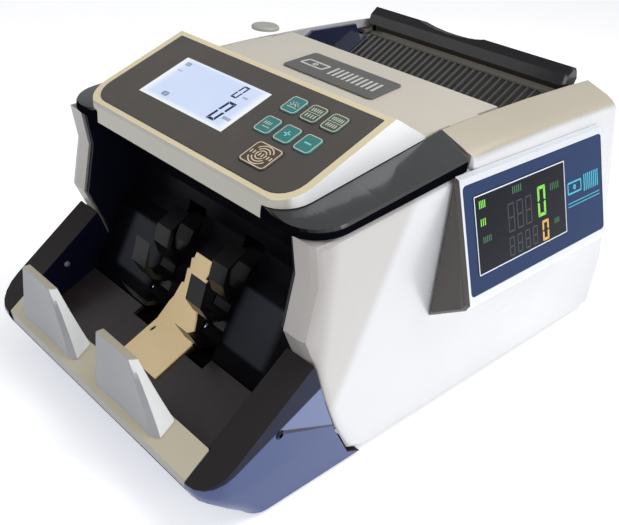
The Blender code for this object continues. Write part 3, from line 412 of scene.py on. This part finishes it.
# On the tray: a painted sheen fan and a painted crease shadow behind each screw, and painted shade on the
# faces inside the tray.
NAVY = plastic("navy_gloss", (0.052, 0.080, 0.210), 0.20, coat=0.15, grain=0.004, shine=0.28,
               dull=tray_matt,
               zones=[(painted_cheek_sheen, (0.14, 0.18, 0.34)), (painted_crease_shadow, (0.008, 0.010, 0.030)),
                      (cheek_band, (0.010, 0.012, 0.034)), (rim, (0.028, 0.024, 0.025)),
                      (tray_inside, (0.006, 0.007, 0.022))])
GUIDE = plastic("guide_navy", (0.012, 0.016, 0.055), 0.2, coat=0.4, grain=0.004)
BLACK = plastic("black_plastic", (0.007, 0.007, 0.009), 0.20, coat=0.25, grain=0.01, shine=0.35)
# The pale patches on the pocket's back are a painted reflection.
WALL = plastic("wall_black", (0.004, 0.004, 0.006), 0.3, grain=0.01, shine=0.05,
               zones=[(painted_wall_reflection, (0.050, 0.054, 0.066))])
INNER = plastic("inner_navy", (0.005, 0.006, 0.014), 0.25, grain=0.01, shine=0.25)
WHEEL = plastic("wheel_rubber", (0.006, 0.006, 0.008), 0.30, grain=0.05, shine=0.22)
FLOOR = plastic("floor_plastic", (0.050, 0.038, 0.043), 0.28, tone=0.15, dust=0.03)
# Front faces of the stacker plate are darker grey: painted shade.
IVORY = plastic("ivory_plastic", (0.64, 0.58, 0.43), 0.45,
                zones=[(upright_front, (0.36, 0.36, 0.34))])
# Front faces of the stoppers are darker: painted shade.
WHITE = plastic("stopper_plastic", (0.90, 0.91, 0.90), 0.42,
                zones=[(front_end, (0.36, 0.37, 0.39)), (crown, (0.56, 0.52, 0.40))])
# The tongue glows a little: painted light that brightens it in the dark pocket.
PEACH = plastic("peach_plastic", (0.80, 0.62, 0.36), 0.4, lit=0.32)
# The pale lines on the hopper plate's ribs are painted highlights.
CHARCOAL = plastic("hopper_plastic", (0.014, 0.013, 0.012), 0.38, grain=0.03,
                   zones=[(rib_highlights, (0.16, 0.155, 0.135))])
GREY = plastic("name_plate_grey", (0.125, 0.125, 0.118), 0.45, grain=0.03, dust=0.03)
KNOB = plastic("knob_grey", (0.44, 0.435, 0.40), 0.5, grain=0.05)
PAN = plastic("pan_grey", (0.10, 0.10, 0.105), 0.55, grain=0.06, grain_scale=500)
# The display housing's front end is dark: painted shade.
BEZEL = plastic("bezel_paint", (0.76, 0.79, 0.84), 0.28, metal=0.15, grain=0.0, tone=0.02,
                zones=[(front_end, (0.080, 0.072, 0.066))])
NAVY_FILM = plastic("navy_film", (0.030, 0.052, 0.125), 0.50, shine=0.06, grain=0.04, grain_scale=1500)
SMOKED = plastic("smoked_window", (0.008, 0.010, 0.016), 0.12, grain=0.0, shine=0.12)
INK_DARK = plastic("lcd_segment", (0.012, 0.020, 0.075), 0.5, tone=0.1)
INK_FAINT = plastic("lcd_faint_mark", (0.16, 0.20, 0.24), 0.5, tone=0.1)
INK_CREAM = plastic("cream_ink", (0.66, 0.66, 0.56), 0.5, tone=0.06)
INK_SAND = plastic("sand_ink", (0.80, 0.66, 0.46), 0.5, tone=0.06)
INK_AQUA = plastic("aqua_ink", (0.25, 0.80, 0.78), 0.5, tone=0.06)
INK_LIGHT = plastic("light_ink", (0.62, 0.62, 0.60), 0.5, tone=0.05)
INK_FRAME = plastic("window_outline", (0.70, 0.74, 0.84), 0.45, tone=0.05)
INK_CYAN = plastic("cyan_ink", (0.06, 0.50, 0.66), 0.45, tone=0.08)
GHOST = plastic("unlit_segment", (0.028, 0.030, 0.038), 0.3, tone=0.1)
GREEN_LIT = glow("green_segment", (0.30, 0.95, 0.08), 0.85)
ORANGE_LIT = glow("orange_segment", (1.0, 0.55, 0.12), 0.85)
GREEN_DIM = glow("dim_green_mark", (0.10, 0.42, 0.12), 0.45)
LENS = plastic("sensor_lens", (0.20, 0.21, 0.26), 0.08, coat=1.0)
SCREW = metal("dark_screw", (0.020, 0.024, 0.045), 0.25)
STEEL = metal("turned_steel", (0.56, 0.57, 0.58), 0.25, (0.05, 1, 1))
ALLOY = metal("turned_alloy", (0.66, 0.67, 0.69), 0.28, (0.05, 1, 1))
CAN = metal("motor_can", (0.42, 0.43, 0.45), 0.35, (0.05, 1, 1))
WINDING = plastic("transformer_wrap", (0.42, 0.27, 0.06), 0.4, grain=0.05)
RUBBER = rubber("black_rubber")
BELT = rubber("belt_rubber", (0.03, 0.05, 0.03))
CIRCUIT = circuit()
ROCKER = plastic("rocker_red", (0.30, 0.012, 0.012), 0.2, coat=0.3)
LCD = lcd_glass()

FINISH = {
    SILVER: ["side_shell_left", "side_shell_right", "rear_cover"],
    BEIGE: ["top_cover"],
    CHAMPAGNE: ["panel_housing"],
    SHOULDER: ["shoulder_trim_left", "shoulder_trim_right"],
    FILM: ["panel_label"],
    LCD: ["lcd_lens"],
    TEAL: ["key_uv", "key_plus", "key_minus", "key_mode"],
    PALE: ["key_magnetic", "key_ink"],
    RESET: ["reset_key"],
    NAVY: ["base_tray"],
    GUIDE: ["note_guide_left", "note_guide_right"],
    BLACK: ["handle_bar", "power_inlet"],
    WALL: ["pocket_back_panel"],
    INNER: ["chassis_plate_left", "chassis_plate_right"],
    WHEEL: ["impeller_wheel_left", "impeller_wheel_right"],
    FLOOR: ["pocket_floor"],
    IVORY: ["stacker_plate"],
    WHITE: ["stopper_left", "stopper_right"],
    PEACH: ["pocket_tongue"],
    CHARCOAL: ["hopper_plate"],
    GREY: ["name_plate"],
    KNOB: ["gap_knob"],
    PAN: ["bottom_plate"],
    BEZEL: ["side_display_housing"],
    NAVY_FILM: ["side_display_label"],
    SMOKED: ["side_display_window"],
    STEEL: ["feed_shaft", "impeller_shaft", "pickup_shaft"],
    CAN: ["drive_motor"],
    WINDING: ["transformer"],
    ALLOY: ["feed_pulley", "impeller_pulley", "motor_pulley", "pickup_pulley"],
    RUBBER: ["feed_roller_left", "feed_roller_right", "pickup_roller_left", "pickup_roller_right",
             "foot_1", "foot_2", "foot_3", "foot_4"],
    BELT: ["drive_belt", "impeller_belt"],
    CIRCUIT: ["main_board"],
    ROCKER: ["power_switch"],
}
for finish, names in FINISH.items():
    for name in names:
        materials = nodes[name].data.materials
        materials.clear()
        materials.append(finish)


# ---- edges of the mouldings ---------------------------------------------------------------------------
EDGE_WIDTH = 0.6 * MM
ROUNDED = ["base_tray", "side_shell_left", "side_shell_right", "panel_housing", "top_cover",
           "side_display_housing", "stacker_plate", "stopper_left", "stopper_right", "handle_bar"]


def soften(width, *names):
    """Small rounded edges, and smooth shading over the curved stretches."""
    for name in names:
        part = nodes[name]
        stored_normals = part.data.attributes.get("custom_normal")
        if stored_normals:
            part.data.attributes.remove(stored_normals)
        part.data.shade_smooth()
        weld = part.modifiers.new("weld", "WELD")
        weld.merge_threshold = 0.002 * MM
        bevel = part.modifiers.new("edge", "BEVEL")
        bevel.width = width
        bevel.segments = 2
        bevel.limit_method = "ANGLE"
        bevel.angle_limit = math.radians(28)
        bevel.harden_normals = True


soften(EDGE_WIDTH, *ROUNDED)


# ---- printed marks and lit segments --------------------------------------------------------------------
def face_frame(name, towards, across):
    """Frame on the largest flat face of a node that looks towards a direction: centre, across, up, out."""
    mesh = nodes[name].data
    faces = [f for f in mesh.polygons if f.normal.dot(Vector(towards)) > 0.8]
    largest = max(faces, key=lambda f: f.area)
    out = largest.normal.copy()
    level = largest.center.dot(out)
    flat = [f for f in faces if f.normal.dot(out) > 0.9999 and abs(f.center.dot(out) - level) < 0.05 * MM]
    corners = [mesh.vertices[i].co for f in flat for i in f.vertices]
    a = Vector(across)
    a = (a - out * a.dot(out)).normalized()
    b = out.cross(a)
    centre = out * level
    for axis in (a, b):
        reach = [corner.dot(axis) for corner in corners]
        centre += axis * (min(reach) + max(reach)) / 2
    return Matrix.Translation(centre) @ Matrix((a, b, out)).transposed().to_4x4()


def as_object(made, name, finish):
    """Object of the scene, from a finished bmesh."""
    mesh = bpy.data.meshes.new(name)
    made.to_mesh(mesh)
    made.free()
    mesh.materials.append(finish)
    piece = bpy.data.objects.new(name, mesh)
    bpy.context.scene.collection.objects.link(piece)
    return piece


def printed(name, shapes, where, body, finish, low=0.0, high=0.06):
    """Thin raised print: outlines, or (outer, inner) pairs for open shapes, in mm on a face frame."""
    made = bmesh.new()
    for shape in shapes:
        loops = shape if isinstance(shape, tuple) else (shape,)
        rows = [[made.verts.new(where @ Vector((a * MM, b * MM, c * MM))) for a, b in loop]
                for c in (low, high) for loop in loops]
        count = len(loops[0])
        if len(loops) == 1:
            made.faces.new(rows[0][::-1])
            made.faces.new(rows[1])
            pairs = [(rows[0], rows[1])]
        else:
            pairs = [(rows[0], rows[2]), (rows[2], rows[3]), (rows[3], rows[1]), (rows[1], rows[0])]
        for first, second in pairs:
            for i in range(count):
                j = (i + 1) % count
                made.faces.new((first[i], first[j], second[j], second[i]))
    bmesh.ops.recalc_face_normals(made, faces=made.faces)
    mark = as_object(made, name, finish)
    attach(mark, body)


def round_box(x, y, wide, tall, radius, steps=4):
    """Rounded rectangle round a centre."""
    points = []
    for k, (sx, sy) in enumerate(((1, 1), (-1, 1), (-1, -1), (1, -1))):
        for step in range(steps + 1):
            angle = math.pi / 2 * (k + step / steps)
            points.append((x + sx * (wide / 2 - radius) + radius * math.cos(angle),
                           y + sy * (tall / 2 - radius) + radius * math.sin(angle)))
    return points


def outline(x, y, wide, tall, radius, line):
    """Rounded rectangle drawn as a line."""
    return (round_box(x, y, wide, tall, radius),
            round_box(x, y, wide - 2 * line, tall - 2 * line, max(0.05, radius - line)))


def arc(x, y, radius, line, start, stop, steps=14):
    """Arc drawn as a line, between two angles in degrees."""
    turns = [math.radians(start + (stop - start) * k / steps) for k in range(steps + 1)]
    inner = radius - line
    outside = [(x + radius * math.cos(t), y + radius * math.sin(t)) for t in turns]
    return outside + [(x + inner * math.cos(t), y + inner * math.sin(t)) for t in turns[::-1]]


def stroke(x0, y0, x1, y1, line):
    """Straight line with flat ends."""
    run = Vector((x1 - x0, y1 - y0)).normalized() * (line / 2)
    return [(x0 + run.y, y0 - run.x), (x1 + run.y, y1 - run.x),
            (x1 - run.y, y1 + run.x), (x0 - run.y, y0 + run.x)]


def segments(x, y, wide, tall, line, lit="abcdef", lean=0.06):
    """Seven-segment digit round a centre, as mitred bars."""
    half, rise, t = wide / 2, tall / 2, line
    gap = 0.12 * line
    bars = {
        "a": [(-half + gap, rise), (half - gap, rise),
              (half - t - gap, rise - t), (-half + t + gap, rise - t)],
        "d": [(-half + gap, -rise), (half - gap, -rise),
              (half - t - gap, -rise + t), (-half + t + gap, -rise + t)],
        "b": [(half, rise - gap), (half, gap * 2), (half - t / 2, gap * 2 - t * 0.1), (half - t, t * 0.6),
              (half - t, rise - t - gap)],
        "c": [(half, -rise + gap), (half, -gap * 2), (half - t / 2, -gap * 2), (half - t, -t * 0.6),
              (half - t, -rise + t + gap)],
        "g": [(-half + t, t / 2), (half - t, t / 2), (half - t / 2, 0),
              (half - t, -t / 2), (-half + t, -t / 2), (-half + t / 2, 0)],
    }
    bars["f"] = [(-u, v) for u, v in bars["b"]]
    bars["e"] = [(-u, v) for u, v in bars["c"]]
    return [[(x + u + v * lean, y + v) for u, v in bars[key]] for key in lit]


def ticks(x, y, count, pitch, wide, tall):
    """Row of short upright bars that stands for a printed word."""
    return [stroke(x + k * pitch, y - tall / 2, x + k * pitch, y + tall / 2, wide) for k in range(count)]


def note_and_tally(x, y, wide, tall, line, lean, count):
    """Pictogram of a banknote followed by a row of leaning tally strokes."""
    note_wide = tall * 1.5
    middle = x + note_wide / 2
    shapes = [outline(middle, y, note_wide, tall * 0.72, line, line),
              (round_box(middle, y, tall * 0.3, tall * 0.3, tall * 0.149),
               round_box(middle, y, tall * 0.1, tall * 0.1, tall * 0.049))]
    start = x + note_wide + 2.2 * line
    pitch = (wide - note_wide - 3 * line) / count
    for k in range(count):
        foot = start + pitch * (k + 0.5)
        shapes.append(stroke(foot - lean, y - tall / 2, foot + lean, y + tall / 2, line))
    return shapes


def turned(name, profile, centre, body, finish, steps=32, hexagon=0.0, depth=0.0):
    """Turned piece that points to the right, from (radius, height) points in mm.

    hexagon is half the width across flats of a socket sunk in its top, and depth is how deep it goes.
    """
    made = bmesh.new()
    facing_right = Vector(RIGHTWARD).to_track_quat("Z", "Y").to_matrix().to_4x4()
    place = Matrix.Translation(Vector(centre)) @ facing_right
    turns = [2 * math.pi * k / steps for k in range(steps)]

    def ring(reaches, height):
        """Corners round the axis, each at its own distance from it."""
        spots = [(r * math.cos(t), r * math.sin(t), height) for r, t in zip(reaches, turns)]
        return [made.verts.new(place @ (Vector(spot) * MM)) for spot in spots]

    rows = [ring([radius] * steps, height) for radius, height in profile]
    if hexagon:
        flats = [hexagon / math.cos((t + math.pi / 6) % (math.pi / 3) - math.pi / 6) for t in turns]
        top = profile[-1][1]
        rows += [ring(flats, top), ring(flats, top - depth)]
    made.faces.new(rows[0][::-1])
    made.faces.new(rows[-1])
    for first, second in zip(rows, rows[1:]):
        for k in range(steps):
            j = (k + 1) % steps
            made.faces.new((first[k], first[j], second[j], second[k]))
    bmesh.ops.recalc_face_normals(made, faces=made.faces)
    piece = as_object(made, name, finish)
    piece.data.shade_smooth()
    piece.data.set_sharp_from_angle(angle=math.radians(40))
    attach(piece, body)


# Places and sizes of the marks are in mm, from the centre of the face that each face frame names.
# Display: a small and a large count, their unit marks, and three faint flags.
lens = face_frame("lcd_lens", UP, RIGHTWARD)
printed("lcd_small_count", segments(21.8, 11.7, 5.2, 11.8, 1.25), lens, "body", INK_DARK)
printed("lcd_large_count", segments(25.8, -6.8, 7.2, 18.2, 1.95), lens, "body", INK_DARK)
printed("lcd_unit_marks", ticks(27.6, 9.0, 5, 0.9, 0.4, 1.5) + ticks(31.8, -10.4, 6, 1.15, 0.6, 2.4), lens,
        "body", INK_FAINT)
flags = [outline(-33.8, 15.0, 4.6, 3.0, 0.6, 0.5), outline(-21.6, -13.6, 5.4, 3.6, 0.7, 0.6)]
flags += ticks(-35.4, 7.6, 4, 1.1, 0.4, 1.3) + ticks(-34.9, 15.0, 3, 1.1, 0.5, 1.6)
flags += ticks(-23.2, -13.6, 3, 1.5, 0.7, 2.0)
printed("lcd_flags", flags, lens, "body", INK_FAINT)

# Keys: a pale outline each, and a sign: a rising sun, rows of bars, a plus and a minus.
SUN_Y = -1.6
SUN = [arc(0, SUN_Y, 2.3, 0.6, 5, 175), stroke(-3.6, -2.4, 3.6, -2.4, 0.6)]
for angle in (30, 60, 90, 120, 150):
    cos, sin = math.cos(math.radians(angle)), math.sin(math.radians(angle))
    SUN.append(stroke(3.0 * cos, 3.0 * sin + SUN_Y, 4.4 * cos, 4.4 * sin + SUN_Y, 0.5))
RULE = [stroke(-5.0, 0, 5.0, 0, 0.4)]
TWO_ROWS = RULE + ticks(-3.3, 2.7, 5, 1.65, 0.75, 2.9) + ticks(-3.3, -2.7, 4, 2.1, 0.8, 2.9)
OTHER_ROWS = RULE + ticks(-3.6, 2.7, 6, 1.45, 0.65, 2.9) + ticks(-3.2, -2.7, 5, 1.6, 0.7, 2.9)
LINES = ticks(-3.0, 1.0, 4, 1.5, 0.6, 2.6) + [stroke(-2.4, -2.2, 3.4, -2.2, 0.6)]
PLUS = [stroke(-2.3, 0, 2.3, 0, 0.9), stroke(0, -2.3, 0, 2.3, 0.9)]
MINUS = [stroke(-2.4, 0, 2.4, 0, 1.1)]
SIGNS = {"key_uv": (SUN, INK_CREAM), "key_magnetic": (TWO_ROWS, INK_CREAM),
         "key_ink": (OTHER_ROWS, INK_CREAM), "key_mode": (LINES, INK_CREAM),
         "key_plus": (PLUS, INK_AQUA), "key_minus": (MINUS, INK_AQUA)}
for key, (sign, ink) in SIGNS.items():
    top = face_frame(key, UP, RIGHTWARD)
    printed(key + "_outline", [outline(0, 0, 11.9, 13.4, 2.3, 0.6)], top, key, INK_CREAM)
    printed(key + "_sign", sign, top, key, ink, high=0.08)

# Reset key: an outline, broken rings and a row of bars in place of its word.
top = face_frame("reset_key", UP, RIGHTWARD)
rings = [arc(0, 0, radius, 0.75, start, start + 120) for radius in (3.6, 5.6, 7.6) for start in (30, 210)]
printed("reset_key_outline", [outline(0, 0, 19.9, 16.9, 2.6, 0.7)], top, "reset_key", INK_SAND)
printed("reset_key_sign", rings + ticks(-7.6, 0, 8, 2.2, 0.9, 2.6), top, "reset_key", INK_SAND,
        high=0.08)

# Name plate: a pictogram and tally strokes in place of its words.
plate = face_frame("name_plate", UP, RIGHTWARD)
printed("name_plate_print", note_and_tally(-35.0, -0.6, 71.0, 14.5, 1.9, -1.5, 10), plate, "body", INK_LIGHT)

# Side display: window outline, two counts, unlit digits, small flags, and the print behind the window.
window = face_frame("side_display_window", RIGHTWARD, BACKWARD)
printed("side_window_outline", [outline(0, 0, 97.2, 47.9, 0.7, 0.75)], window, "body", INK_FRAME,
        high=0.12)
printed("side_large_count", segments(20.6, 4.3, 8.8, 19.6, 2.1, lean=0.0), window, "body", GREEN_LIT)
printed("side_small_count", segments(23.6, -15.4, 7.2, 13.4, 1.75, lean=0.0), window, "body", ORANGE_LIT)
unlit = sum((segments(a, 2.6, 6.8, 18.0, 1.0, "abcdefg", 0.0) for a in (-13, -3.6, 5.8)), [])
unlit += sum((segments(a, -15.4, 5.4, 12.0, 0.9, "abcdefg", 0.0) for a in (-14, -5.5, 3, 11.5)), [])
printed("side_unlit_digits", unlit, window, "body", GHOST)
bright = ticks(-43.6, 18.0, 4, 1.7, 0.9, 4.6) + ticks(-43.2, 7.2, 3, 2.0, 0.9, 4.4)
dim = ticks(-42.0, -3.6, 5, 1.8, 0.7, 3.8) + ticks(-9.8, 18.6, 5, 2.1, 0.8, 4.6)
dim += ticks(31.4, 10.6, 5, 2.2, 0.7, 4.6) + ticks(34.6, -12.6, 4, 1.6, 0.6, 3.4)
printed("side_flags", bright, window, "body", GREEN_LIT)
printed("side_dim_flags", dim, window, "body", GREEN_DIM)
cyan = note_and_tally(52.0, 3.6, 40.5, 11.5, 1.1, 0.0, 8)
cyan += [stroke(52.0, level, 92.6, level, 0.6) for level in (-6.4, -8.6)]
printed("side_print", cyan, window, "body", INK_CYAN, low=-0.2, high=-0.12)

# Small fittings: the screw on the right cheek, and the note sensor's lens on the pocket's left wall.
HEAD_PROFILE = [(2.9, -0.2), (2.9, 0.3), (2.6, 0.7), (1.9, 0.9)]
LENS_PROFILE = [(2.2, 0.0), (2.2, 0.5), (1.9, 0.9), (1.3, 1.25), (0.6, 1.4)]
_, left_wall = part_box("chassis_plate_left")
screw_at = (tray_high.x, tray_low.y + SCREW_AT[0] * MM, SCREW_AT[1] * MM)
lens_at = (left_wall.x, tray_low.y + LENS_AT[0] * MM, LENS_AT[1] * MM)
turned("cheek_screw", HEAD_PROFILE, screw_at, "body", SCREW, hexagon=1.4, depth=0.8)
turned("note_sensor_lens", LENS_PROFILE, lens_at, "body", LENS)


# ---- setting: floor, light, camera -------------------------------------------------------------------
FLOOR_GAP = 0.2 * MM


def backdrop():
    """Pale paper under the machine, which glows a little so that it stays near white."""
    made = bmesh.new()
    bmesh.ops.create_grid(made, x_segments=1, y_segments=1, size=6.0)
    g = Graph("floor_paper")
    paper = g.mix(g.span(g.noise(3.0), 0.0, 1.0), (0.83, 0.83, 0.835), (0.86, 0.86, 0.86))
    g.link(paper, g.shader.inputs["Base Color"])
    g.link(paper, g.shader.inputs["Emission Color"])
    g.shader.inputs["Emission Strength"].default_value = 0.62
    g.shader.inputs["Roughness"].default_value = 0.8
    floor = as_object(made, "floor", g.material)
    floor.location.z = cad_box[0][2] - FLOOR_GAP


def area_light(name, place, aim, size, power):
    """Rectangular light at a place, turned towards another; metres and watts."""
    data = bpy.data.lights.new(name, "AREA")
    data.shape = "RECTANGLE"
    data.size, data.size_y = size
    data.energy = power
    lamp = bpy.data.objects.new(name, data)
    lamp.location = place
    lamp.rotation_euler = (Vector(aim) - Vector(place)).to_track_quat("-Z", "Y").to_euler()
    bpy.context.scene.collection.objects.link(lamp)


backdrop()
world = bpy.data.worlds.new("studio")
world.use_nodes = True
background = world.node_tree.nodes["Background"]
background.inputs["Color"].default_value = (0.96, 0.97, 1.0, 1.0)
background.inputs["Strength"].default_value = 0.36
bpy.context.scene.world = world
bpy.context.scene.view_settings.view_transform = "Standard"
area_light("key", place=(0.45, 0.35, 1.25), aim=(0.0, 0.0, 0.1), size=(0.8, 0.8), power=9)
area_light("side", place=(1.3, -0.10, 0.45), aim=(0.0, 0.05, 0.1), size=(0.7, 0.6), power=4.6)
area_light("left_fill", place=(-0.9, -0.9, 0.8), aim=(0.0, 0.0, 0.1), size=(0.8, 0.8), power=2.0)

# Camera: its place, and the directions in which its right side and its top point.
camera = bpy.data.objects.new("camera", bpy.data.cameras.new("camera"))
camera_at = Vector((0.341845, -0.387963, 0.358469))
right = Vector((0.685171, 0.723730, 0.082199))
up = Vector((-0.415392, 0.295551, 0.860290))
axes = Matrix((right, up, right.cross(up))).transposed().to_4x4()
camera.matrix_world = Matrix.Translation(camera_at) @ axes
camera.data.sensor_width = 36.0
camera.data.lens = 47.097
camera.data.clip_start = 0.01
bpy.context.scene.collection.objects.link(camera)
bpy.context.scene.camera = camera
